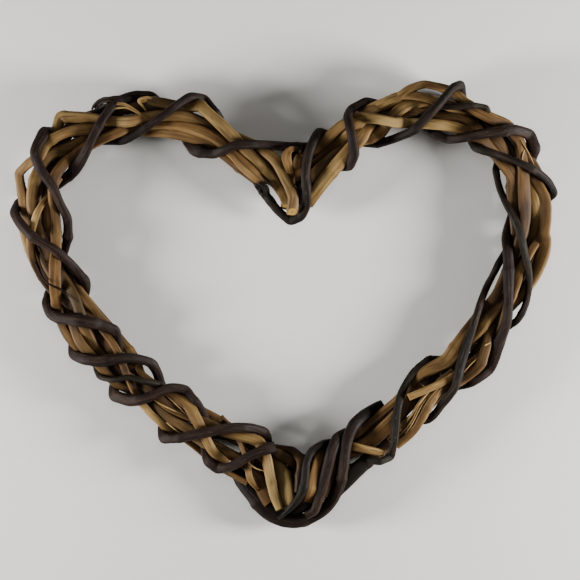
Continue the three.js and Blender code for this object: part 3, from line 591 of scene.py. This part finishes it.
# How each rod differs: tones from its thick end to its thin end, dark 0 to pale 1; hue, olive 0 to orange 1;
# and marks, each a spot of the photograph and a reach in mm, where the rod is wider, paler or moved by mm
rodLooks = {
    "buff_rod_left_1": {
        "tone": (0.75, 0.66, 0.68, 0.68, 0.6, 0.2, 0.15), "hue": 0.2, "wide": 1.22, "slant": 0.9,
        "marks": [(140, 100, 5, {"wide": 0.45, "tone": -0.2})],
    },
    "buff_rod_left_2": {
        "tone": (0.75, 0.66, 0.3, 0.55, 0.8, 0.35, 0.2, 0.25, 0.3, 0.3, 0.45, 0.2, 0.2),
        "hue": 0.25, "slant": 0.9,
        "marks": [(290, 186, 11, {"wide": 0.9, "move": (-1.3, 0.0, 0.0)})],
    },
    "buff_rod_left_3": {
        "tone": (0.65, 0.5, 0.65, 0.6, 0.35, 0.25, 0.25, 0.35, 0.5, 0.5, 0.55, 0.3, 0.3), "hue": 0.65,
        "marks": [
            (262, 183, 4, {"wide": 0.6, "tone": -0.3}),
            (54, 278, 13, {"wide": 1.2, "tone": -0.15, "move": (0.5, 0.0, 3.0)}),
        ],
    },
    "buff_rod_left_4": {
        "tone": (0.6, 0.4, 0.7, 0.4, 0.55, 0.7, 0.35, 0.3, 0.55, 0.75, 0.3, 0.5, 0.7), "hue": 0.35,
        "marks": [
            (242, 174, 12, {"wide": 0.85, "move": (2.6, 1.6, 0.0)}),
            (58, 120, 6, {"wide": 0.85, "move": (0.8, 0.0, 0.0)}),
            (17, 172, 9, {"wide": 0.75, "tone": -0.2, "move": (1.0, 0.0, 0.0)}),
            (148, 373, 8, {"wide": 0.8, "move": (-1.8, -2.2, 0.0)}),
            (185, 398, 9, {"wide": 1.3, "move": (0.8, 0.4, 0.0)}),
            (202, 412, 12, {"wide": 1.15, "tone": 0.15}),
        ],
    },
    "buff_rod_left_5": {
        "tone": (0.4, 0.7, 0.5, 0.5, 0.3, 0.2, 0.4, 0.2, 0.3, 0.45, 0.3, 0.6, 0.85),
        "hue": 0.25, "wide": 1.15,
        "marks": [
            (78, 304, 10, {"wide": 0.85, "tone": -0.3}),
            (282, 512, 6, {"wide": 0.8, "move": (0.8, 0.0, 2.0)}), (272, 480, 16, {"tone": 0.2}),
        ],
    },
    "buff_rod_left_6": {
        "tone": (0.5, 0.75, 0.2, 0.15, 0.3, 0.4, 0.55, 0.5, 0.6), "wide": 1.15,
        "marks": [
            (40, 208, 9, {"wide": 0.8}), (50, 280, 17, {"tone": -0.2, "move": (0.0, 0.0, -7.0)}),
            (168, 431, 8, {"wide": 1.5, "move": (0.0, -1.8, 0.0)}), (150, 415, 14, {"tone": 0.3}),
        ],
    },
    "buff_rod_left_7": {"tone": (0.4, 0.45, 0.4, 0.75, 0.5), "wide": 1.0, "slant": 0.9},
    "buff_rod_left_8": {
        "tone": (0.4, 0.55, 0.75, 0.8, 0.8), "hue": 0.2, "wide": 1.5,
        "marks": [
            (288, 500, 8, {"wide": 1.45, "tone": 0.45, "move": (-1.4, -4.2, 1.6)}),
            (285, 475, 14, {"tone": 0.2}),
        ],
    },
    "buff_rod_left_9": {
        "tone": (0.5, 0.2, 0.2, 0.3, 0.2, 0.4, 0.9, 0.3, 0.2, 0.3, 0.45, 0.4, 0.3), "wide": 1.5,
        "marks": [
            (70, 129, 9, {"wide": 1.15, "tone": 0.35, "move": (0.0, 2.2, 2.0)}),
            (25, 218, 8, {"wide": 1.3, "move": (-0.6, 0.0, 2.0)}), (38, 208, 7, {"wide": 0.72}),
            (264, 488, 8, {"wide": 1.7, "tone": 0.1, "move": (2.6, -8.6, 0.0)}),
        ],
    },
    "buff_rod_left_10": {
        "tone": (0.3, 0.25, 0.2, 0.2, 0.4, 0.4, 0.3, 0.35, 0.2, 0.5, 0.45, 0.4, 0.0), "wide": 1.5,
        "marks": [
            (300, 480, 10, {"tone": -0.3}), (47, 215, 14, {"wide": 1.4, "move": (-0.8, 0.0, 0.0)}),
            (286, 450, 8, {"wide": 0.7, "tone": -0.2}),
        ],
    },
    "buff_rod_right_1": {
        "tone": (0.4, 0.4, 0.6, 0.75, 0.65, 0.35, 0.5, 0.5, 0.35), "hue": 0.35,
        "marks": [
            (368, 118, 12, {"move": (0.0, 0.6, 2.0)}), (388, 120, 12, {"wide": 0.88, "tone": 0.25}),
            (434, 127, 9, {"tone": 0.3}),
            (510, 188, 16, {"wide": 1.6, "tone": -0.2, "move": (0.6, 0.0, 0.0)}),
        ],
    },
    "buff_rod_right_2": {
        "tone": (0.35, 0.5, 0.55, 0.35, 0.4, 0.4, 0.35, 0.25, 0.2, 0.55, 0.45, 0.5, 0.3), "hue": 0.5,
        "marks": [
            (380, 108, 17, {"move": (0.0, 0.0, -10.0)}), (380, 104, 16, {"wide": 0.85}),
            (428, 83, 12, {"wide": 0.68, "move": (0.0, -0.7, 0.0)}),
            (508, 121, 10, {"tone": -0.3, "move": (1.1, 1.5, 0.0)}),
            (528, 205, 18, {"wide": 1.22, "tone": -0.12, "move": (0.4, 0.0, 0.0)}),
            (440, 362, 20, {"wide": 1.45, "tone": 0.1}), (416, 378, 8, {"wide": 0.7, "tone": -0.15}),
        ],
    },
    "buff_rod_right_3": {
        "tone": (0.2, 0.5, 0.65, 0.7, 0.3, 0.25, 0.5, 0.55, 0.6, 0.2, 0.2, 0.5, 0.5),
        "hue": 0.35, "wide": 1.35,
        "marks": [
            # painted shade: this rod's start is sunk and painted darker where it lies deep in the cleft
            (300, 190, 6, {"tone": -0.4, "move": (0.5, 0.5, -6.0)}),
            (400, 104, 16, {"tone": 0.3}),
            (545, 205, 16, {"wide": 1.15, "tone": -0.25, "move": (0.5, 0.0, 0.0)}),
            (545, 256, 14, {"wide": 1.4, "move": (-1.4, 0.0, 0.0)}),
            (552, 240, 8, {"wide": 0.85, "move": (-1.4, 0.0, 0.0)}),
            (427, 420, 12, {"wide": 0.85, "move": (-1.8, 1.2, 0.0)}),
        ],
    },
    "buff_rod_right_4": {
        "tone": (0.7, 0.7, 0.6, 0.65, 0.4, 0.4, 0.45, 0.45, 0.4, 0.3, 0.45, 0.65, 0.35), "hue": 0.4,
        "marks": [
            (400, 112, 14, {"tone": 0.3}), (535, 205, 16, {"tone": 0.3, "move": (0.8, 0.0, 3.0)}),
        ],
    },
    "buff_rod_right_5": {
        "tone": (0.7, 0.8, 0.6, 0.3, 0.3, 0.4, 0.4, 0.6, 0.3, 0.3, 0.4, 0.65, 0.7), "hue": 0.5,
        "marks": [(520, 284, 14, {"wide": 1.55, "tone": 0.3})],
    },
    "buff_rod_right_6": {"tone": (0.05, 0.35, 0.6, 0.7, 0.3), "marks": [(452, 370, 5, {"wide": 0.5})]},
    "buff_rod_right_7": {"tone": (0.25, 0.3, 0.5, 0.3, 0.15), "hue": 0.7, "wide": 1.45},
    "buff_rod_right_8": {"tone": (0.2, 0.3, 0.6, 0.75, 0.8), "hue": 0.5},
    "buff_rod_right_9": {"tone": (0.3, 0.75, 0.5, 0.3, 0.1), "hue": 0.8, "wide": 1.4},
    "buff_rod_right_10": {"tone": (0.1, 0.2, 0.5, 0.3, 0.1)},
    "buff_rod_right_11": {
        "tone": (0.3, 0.3, 0.4, 0.3, 0.3, 0.3, 0.45, 0.3, 0.3, 0.2, 0.45, 0.2, 0.2), "wide": 1.5,
        "marks": [(355, 470, 14, {"tone": -0.6, "move": (0.0, 0.0, -5.0)})],
    },
    "buff_rod_right_12": {
        "tone": (0.3, 0.3, 0.6, 0.3, 0.3, 0.4, 0.6, 0.35, 0.3, 0.2, 0.35, 0.35, 0.2), "wide": 1.5,
        "marks": [
            (437, 380, 10, {"wide": 1.5}), (410, 410, 8, {"wide": 1.5}),
        ],
    },
    "dark_rod_over_cleft": {
        "tone": (0.4, 0.4, 0.35, 0.45, 0.5, 0.4, 0.35, 0.4, 0.5, 0.4, 0.6, 0.3, 0.4), "hue": 0.6,
        "marks": [
            (142, 96, 12, {"wide": 1.35}), (496, 352, 14, {"wide": 1.45, "move": (-0.8, 0.0, 0.0)}),
            (190, 148, 12, {"wide": 1.25}),
            (106, 355, 12, {"wide": 1.2}), (507, 272, 24, {"wide": 1.35}), (78, 165, 10, {"wide": 1.3}),
            (500, 130, 13, {"wide": 1.3, "move": (0.0, -1.4, 0.0)}),
            (533, 146, 8, {"wide": 1.25, "move": (-0.6, 0.0, 0.0)}),
            (353, 146, 11, {"wide": 1.1, "move": (-1.3, 0.0, 0.0)}),
            (74, 264, 14, {"wide": 1.1, "move": (-1.2, -0.4, 0.0)}),
            (510, 158, 14, {"wide": 1.25}), (535, 160, 5, {"move": (0.0, 0.0, 5.0)}),
        ],
    },
    "dark_rod_round_cleft": {
        "tone": (0.5, 0.35, 0.3, 0.35, 0.5, 0.45, 0.3, 0.3, 0.5, 0.5), "hue": 0.45, "wide": 1.08,
        "marks": [
            (281, 215, 15, {"wide": 0.88, "move": (0.8, 1.5, 0.0)}),
            (482, 270, 15, {"move": (2.2, -0.3, 0.0)}), (465, 355, 16, {"wide": 1.4, "tone": -0.2}),
            (441, 396, 12, {"wide": 1.3}),
        ],
    },
    "dark_rod_left": {
        "tone": (0.45, 0.5, 0.5, 0.4, 0.4, 0.4, 0.35, 0.4, 0.4), "hue": 0.6,
        "marks": [
            (80, 318, 14, {"wide": 1.4, "tone": -0.1}), (65, 321, 9, {"move": (0.0, 1.5, 0.0)}),
            (40, 133, 7, {"wide": 1.2, "move": (1.5, 0.6, 0.0)}), (48, 165, 16, {"wide": 1.2}),
            (124, 398, 9, {"wide": 1.3, "move": (0.6, 1.2, 0.0)}),
            (192, 402, 9, {"wide": 0.75, "move": (-1.0, -0.6, 0.0)}),
            (273, 448, 6, {"wide": 1.15}),
        ],
    },
    "dark_rod_right_thin": {
        "tone": 0.35, "hue": 0.3,
        "marks": [
            (462, 103, 12, {"wide": 0.85, "move": (0.0, -1.4, 0.0)}),
            (490, 105, 7, {"wide": 0.74, "move": (-1.2, -1.6, 0.0)}),
            (496, 113, 7, {"wide": 0.85, "move": (1.6, -0.2, 12.0)}),
            (529, 268, 18, {"wide": 1.08, "move": (-2.6, 0.0, 0.0)}),
            (518, 238, 8, {"wide": 1.2}), (398, 412, 20, {"wide": 1.4, "tone": -0.1}),
        ],
    },
    "dark_rod_left_thin": {"tone": 0.25, "hue": 0.4, "wide": 0.95},
    "dark_rod_tip_front": {
        "tone": (0.3, 0.3, 0.4, 0.4, 0.4, 0.2, 0.2), "hue": 0.55, "wide": 1.35,
        "marks": [
            (262, 503, 12, {"wide": 1.3, "move": (0.8, 0.8, 0.0)}),
            (280, 516, 9, {"wide": 1.2, "move": (0.0, 0.8, 0.0)}),
        ],
    },
    "dark_rod_tip_middle": {
        "tone": (0.4, 0.4, 0.3, 0.1), "wide": 1.45,
        "marks": [(309, 517, 11, {"wide": 0.62, "move": (0.8, 0.0, 0.0)})],
    },
    "dark_rod_tip_inner": {
        "tone": (0.25, 0.25, 0.15, 0.15), "wide": 1.05,
        "marks": [(277, 516, 9, {"wide": 0.5, "move": (2.0, -0.5, -3.0)})],
    },
    "dark_rod_tip_lower": {
        "tone": 0.15, "wide": 2.2, "marks": [(291, 511, 7, {"wide": 1.35, "move": (-5.2, 1.6, 0.0)})],
    },
    "dark_rod_tip_outer": {"tone": 0.25, "wide": 1.6},
    "dark_rod_tip_back_left": {"tone": 0.15, "wide": 2.2},
    "dark_rod_tip_back_middle": {"tone": 0.1, "wide": 1.9},
    "dark_rod_tip_back_right": {"tone": 0.1, "wide": 1.9},
}


def dressRod(node):
    finish = "dark" if node.startswith("dark") else "buff"
    shape = common[finish]
    pick = random.Random(node)
    look = {
        "tone": growth["tone"], "hue": pick.uniform(*growth["hue"]), "slant": growth["slant"],
        "wide": shape["wide"], "thin": shape["thin"], "marks": (),
    }
    look.update(rodLooks.get(node, {}))
    knots, radii = solidRings(node)
    points, radius, bend = bentPath(knots, radii, shape["step"] * mm)
    wide, toneShift, shift = np.ones(len(points)), np.zeros(len(points)), np.zeros_like(points)
    for x, y, reach, change in look["marks"]:
        gone = np.linalg.norm((points - photoSpot(x, y))[:, :2], axis=1)
        near = np.exp(-(gone / (reach * mm)) ** 2)
        wide *= 1 + near * (change.get("wide", 1) - 1)
        toneShift += near * change.get("tone", 0)
        shift += near[:, None] * np.array(change.get("move", (0, 0, 0))) * mm
    path = makePath(points + shift, radius, pick.randint(*seedRange), hue=look["hue"])
    along, length = path["along"], path["along"][-1]
    swell = np.ones(len(points))
    for _ in range(growth["waves"]):
        wave = pick.uniform(*growth["waveLength"]) * mm
        phase = pick.uniform(*growth["phase"])
        swell += np.sin(along / wave * 2 * math.pi + phase) * shape["swell"] * growth["waveShare"]
    tones = np.atleast_1d(look["tone"])
    tone = np.interp(along, np.linspace(0, length, len(tones)), tones) + toneShift
    spot = pick.uniform(*growth["firstNode"]) * mm
    # the nodes where its leaves grew: a slight swelling and a scar
    while spot < length - growth["endRoom"] * mm:
        near = np.exp(-((along - spot) / (growth["nodeReach"] * mm)) ** 2)
        swell += near * pick.uniform(*growth["nodeSwell"])
        tone += near * pick.uniform(*shape["scar"])
        spot += pick.uniform(*shape["nodes"]) * mm
    rollLength = pick.uniform(*growth["rollLength"]) * mm
    roll = shape["roll"] * np.sin(along / rollLength + pick.uniform(*growth["phase"]))
    lift = np.cross(path["heading"], path["side"])
    path["side"] = path["side"] * np.cos(roll)[:, None] + lift * np.sin(roll)[:, None]
    path["rodRadius"] = radius * swell
    path["tone"] = tone
    path["wide"] = look["wide"] * wide * (1 + growth["kinkWide"] * bend)
    path["thin"] = look["thin"] * (1 - growth["kinkThin"] * bend)
    crease = pick.uniform(*growth["creaseDepth"]) * shape["groove"] * mm
    path["groove"] = crease * (1 + growth["kinkCrease"] * bend)
    endReach = growth["endReach"] * mm
    path["slant"] = (np.exp(-along / endReach) - np.exp(-(length - along) / endReach)) * look["slant"]
    piece = sweepRods(node + "_willow", [path], finish, finish, cut="cut" if finish == "buff" else "dark")
    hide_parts(node)
    return piece


rodNodes = [node for node in sorted(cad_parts) if node != "cleft_strap"]
pieces = [dressRod(node) for node in rodNodes]
print("rods dressed:", len(pieces), "faces:", sum(len(p.data.polygons) for p in pieces))


# The strap at the cleft: a split strip of willow folded over, its two leaves side by side, its fold open,
# with a low strip under the fold painted dark as painted shade. Each leaf runs over spots of the photograph,
# each with its height and half width in mm.
strap = {
    "left": [
        (293, 184, 14, 1.1), (291, 175, 19, 1.8), (288, 165, 22, 2.5), (286.5, 157, 23, 2.7),
        (289, 151, 22, 1.9), (295, 149, 19, 1.3), (301, 152, 15, 1.0),
    ],
    "right": [
        (297, 181, 12, 1.2), (298, 176, 15, 2.2), (298.5, 168, 18, 2.9), (299, 160, 19, 2.9),
        (301, 155, 16, 2.1),
    ],
    # painted shade: a low strip under the open fold, painted darker than either leaf
    "paintedShadeUnderFold": [(288, 160, 9, 3.0), (296, 157, 10, 3.6), (305, 156, 9, 3.0)],
    "tones": {
        "left": (0.3, 0.45, 0.6, 0.6, 0.4, 0.2), "right": (0.2, 0.5, 0.6, 0.65, 0.5), "paintedShadeUnderFold": (-0.4, -0.4),
    },
    "thin": 0.2, "hue": 0.62, "groove": 0.15, "step": 0.7, "slack": (60, 90, 0.8), "firstSeed": 7,
}


def dressStrap():
    paths = []
    for number, (leaf, tones) in enumerate(strap["tones"].items()):
        knots = np.array([photoSpot(x, y, height) for x, y, height, half in strap[leaf]])
        halves = np.array([half for x, y, height, half in strap[leaf]]) * mm
        points, radius, _ = bentPath(knots, halves, strap["step"] * mm, slack=strap["slack"])
        place = np.linspace(0, 1, len(points))
        tone = np.interp(place, np.linspace(0, 1, len(tones)), tones)
        paths.append(makePath(
            points, radius, strap["firstSeed"] + number,
            thin=strap["thin"], tone=tone, hue=strap["hue"], groove=strap["groove"] * mm,
        ))
    piece = sweepRods("cleft_strap_willow", paths, "buff", "buff")
    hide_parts("cleft_strap")


dressStrap()
print("strap folded")


# Splinters, frays and torn bark. Each strand runs over spots of the photograph, with heights in mm, and its
# copies lie within the spread, in mm.
splinters = {
    "curled_split_end": {
        "finish": "buff", "width": 0.8, "flat": 0.35, "tone": 0.75, "copies": 1, "spread": 0, "strands": [
            [(152, 99, 17.5), (146, 98, 19), (139, 101, 19.5), (142.5, 106, 18.8), (147, 112, 18)],
        ],
    },
    "frayed_crest": {
        "finish": "buff", "width": 0.5, "flat": 0.6, "tone": 0.85, "copies": 2, "spread": 0.8, "strands": [
            [(113, 111, 20), (121, 109, 20), (129, 109, 20.5), (139, 114, 20.5), (151, 121, 19.5)],
            [(118, 105, 20), (127, 105, 20.5), (137, 111, 20.5), (149, 119, 20)],
        ],
    },
    "torn_bark_crest": {
        "finish": "dark", "width": 0.7, "flat": 0.5, "tone": 0.5, "copies": 3, "spread": 1.3, "strands": [
            [(93, 108, 12), (98, 101, 16), (106, 98, 18.5), (119, 99, 18.8)],
            [(96, 106, 13), (103, 100, 17.5), (113, 97, 18.8), (122, 96, 17.6)],
            [(98, 110, 13), (104, 104, 17.5), (112, 102, 19.5), (118, 104, 19)],
            [(97, 105, 15), (104, 101.5, 17), (111, 101, 18), (117, 101, 17)],
        ],
    },
    "torn_bark_cleft": {
        "finish": "dark", "width": 0.8, "flat": 0.6, "tone": 0.3, "copies": 1, "spread": 0, "strands": [
            [(256, 184, 19), (260, 188, 19), (259, 195, 17)],
            [(259, 183, 20), (264, 188, 20), (264, 196, 17)],
            [(261, 183, 20), (267, 187, 20), (270, 193, 18)],
            [(264, 182, 20), (269, 184, 20), (273, 188, 19)],
            [(258, 186, 19), (265, 190, 19), (267, 197, 16)],
            [(255, 186, 18), (262, 192, 17), (263, 199, 15)],
        ],
    },
    "frayed_right": {
        "finish": "buff", "width": 0.4, "flat": 0.7, "tone": 0.75, "copies": 4, "spread": 1.5, "strands": [
            [(436, 386, 18), (425, 400, 18.8), (412, 424, 18), (399, 441, 14.5)],
            [(440, 388, 18), (431, 404, 18.5), (422, 420, 17), (415, 429, 14)],
            [(432, 389, 18), (420, 404, 19), (408, 421, 17.5), (400, 431, 14.5)],
        ],
    },
    "straws_right": {
        "finish": "buff", "width": 0.55, "flat": 0.6, "tone": 0.85, "copies": 1, "spread": 0.6, "strands": [
            [(462, 374, 17), (474, 362, 17.5), (486, 353, 17)], [(484, 346, 18), (489, 343, 17.6)],
            [(522, 141, 18), (528, 152, 17.5), (536, 167, 15)],
            [(526, 147, 16.5), (523, 155, 18.5), (522, 163, 18.5)],
        ],
    },
    "straws_left": {
        "finish": "buff", "width": 0.4, "flat": 0.7, "tone": 0.8, "copies": 1, "spread": 0.5, "strands": [
            [(165, 395, 18), (175, 405, 18.5), (190, 418, 16.5)],
            [(166, 423, 16), (176, 431, 16.5), (185, 436, 14.5)],
            [(154, 400, 16.5), (166, 406, 17.2), (182, 414, 16.5)],
        ],
    },
    "bark_threads_left": {
        "finish": "dark", "width": 0.55, "flat": 0.8, "tone": 0.4, "copies": 2, "spread": 1.0, "strands": [
            [(31, 248, 18), (37, 264, 20), (47, 281, 25), (62, 289, 25.5), (80, 301, 22)],
        ],
    },
    "tip_splinter": {
        "finish": "buff", "width": 0.4, "flat": 0.7, "tone": 0.9, "copies": 1, "spread": 0, "strands": [
            [(248, 463, 17.6), (256, 468, 18.4), (264, 471, 17.8)],
        ],
    },
}
# How every strand is laid, in mm: how far its copies drift across, along and up for each mm of spread, how
# far its points stray, the spacing of its rings, and how it tapers, as shares of its length and of its width
strandLay = {
    "drift": (1, 1, 0.4), "stray": 0.4, "step": 0.6, "slack": (30, 80, 0.6),
    "taperAt": (0, 0.15, 0.7, 1), "taper": (0.7, 1, 0.8, 0.2), "widths": (0.7, 1.2), "tones": (-0.15, 0.1),
    "hue": 0.5,
}


def layStrands(name, look):
    pick = random.Random(name)
    lay, paths = strandLay, []
    for spots in look["strands"]:
        for _ in range(look["copies"]):
            shift = np.array([pick.uniform(-drift, drift) for drift in lay["drift"]]) * look["spread"] * mm
            knots = np.array([photoSpot(*spot) for spot in spots]) + shift
            stray = [[pick.uniform(-lay["stray"], lay["stray"]) * mm for _ in range(3)] for _ in spots]
            knots += np.array(stray) * bool(look["spread"])
            halves = np.full(len(knots), look["width"] * mm)
            points, radius, _ = bentPath(knots, halves, lay["step"] * mm, slack=lay["slack"])
            share = np.linspace(0, 1, len(points))
            radius = radius * np.interp(share, lay["taperAt"], lay["taper"]) * pick.uniform(*lay["widths"])
            paths.append(makePath(
                points, radius, pick.randint(*seedRange), thin=look["flat"], hue=lay["hue"],
                tone=look["tone"] + pick.uniform(*lay["tones"]),
            ))
    piece = sweepRods(name, paths, "splinter", look["finish"], cut=look["finish"])


for name, look in splinters.items():
    layStrands(name, look)
print("splinters laid:", len(splinters))


# floor, light and camera: the camera stands over the middle of the view, and the lights look at the wreath
stageSet = {
    "floor": "#e9e8e4", "floorRoughness": 0.8, "floorReach": 2.5, "white": (1.0, 0.99, 0.97), "ambient": 0.09,
    "cameraHeight": 2.6, "viewWidth": 319 * mm, "viewHeight": 14 * mm, "viewX": 3.3 * mm, "viewY": 7.15 * mm,
    "sensor": 36,
}
lights = {
    "right": {"place": (0.78, -0.08, 0.26), "size": 0.24, "power": 18.0},
    "left": {"place": (-0.78, -0.11, 0.26), "size": 0.24, "power": 14.2},
    "above": {"place": (0.0, 0.3, 1.3), "size": 0.5, "power": 1.9},
}

floorMesh = bpy.data.meshes.new("floor")
reach = stageSet["floorReach"]
corners = [(-reach, -reach, 0), (reach, -reach, 0), (reach, reach, 0), (-reach, reach, 0)]
floorMesh.from_pydata(corners, [], [(0, 1, 2, 3)])
floor = bpy.data.objects.new("floor", floorMesh)
bpy.context.scene.collection.objects.link(floor)
floorMesh.materials.append(newMaterial("paleFloor", lambda add: add("ShaderNodeBsdfPrincipled", {
    "Base Color": srgb(stageSet["floor"]), "Roughness": stageSet["floorRoughness"],
})))

world = bpy.data.worlds.new("studio")
world.use_nodes = True
background = world.node_tree.nodes["Background"]
background.inputs["Color"].default_value = stageSet["white"] + (1.0,)
background.inputs["Strength"].default_value = stageSet["ambient"]
bpy.context.scene.world = world

for name, lamp in lights.items():
    data = bpy.data.lights.new(name, "AREA")
    data.shape = "DISK"
    data.size = lamp["size"]
    data.energy = lamp["power"]
    data.color = stageSet["white"]
    light = bpy.data.objects.new(name, data)
    light.location = lamp["place"]
    light.rotation_euler = (-Vector(lamp["place"])).to_track_quat("-Z", "Y").to_euler()
    bpy.context.scene.collection.objects.link(light)

cameraData = bpy.data.cameras.new("camera")
camera = bpy.data.objects.new("camera", cameraData)
cameraData.sensor_width = stageSet["sensor"]
distance = stageSet["cameraHeight"] - stageSet["viewHeight"]
cameraData.lens = stageSet["sensor"] * distance / stageSet["viewWidth"]
camera.location = (stageSet["viewX"], stageSet["viewY"], stageSet["cameraHeight"])
bpy.context.scene.collection.objects.link(camera)
bpy.context.scene.camera = camera
print("stage set")
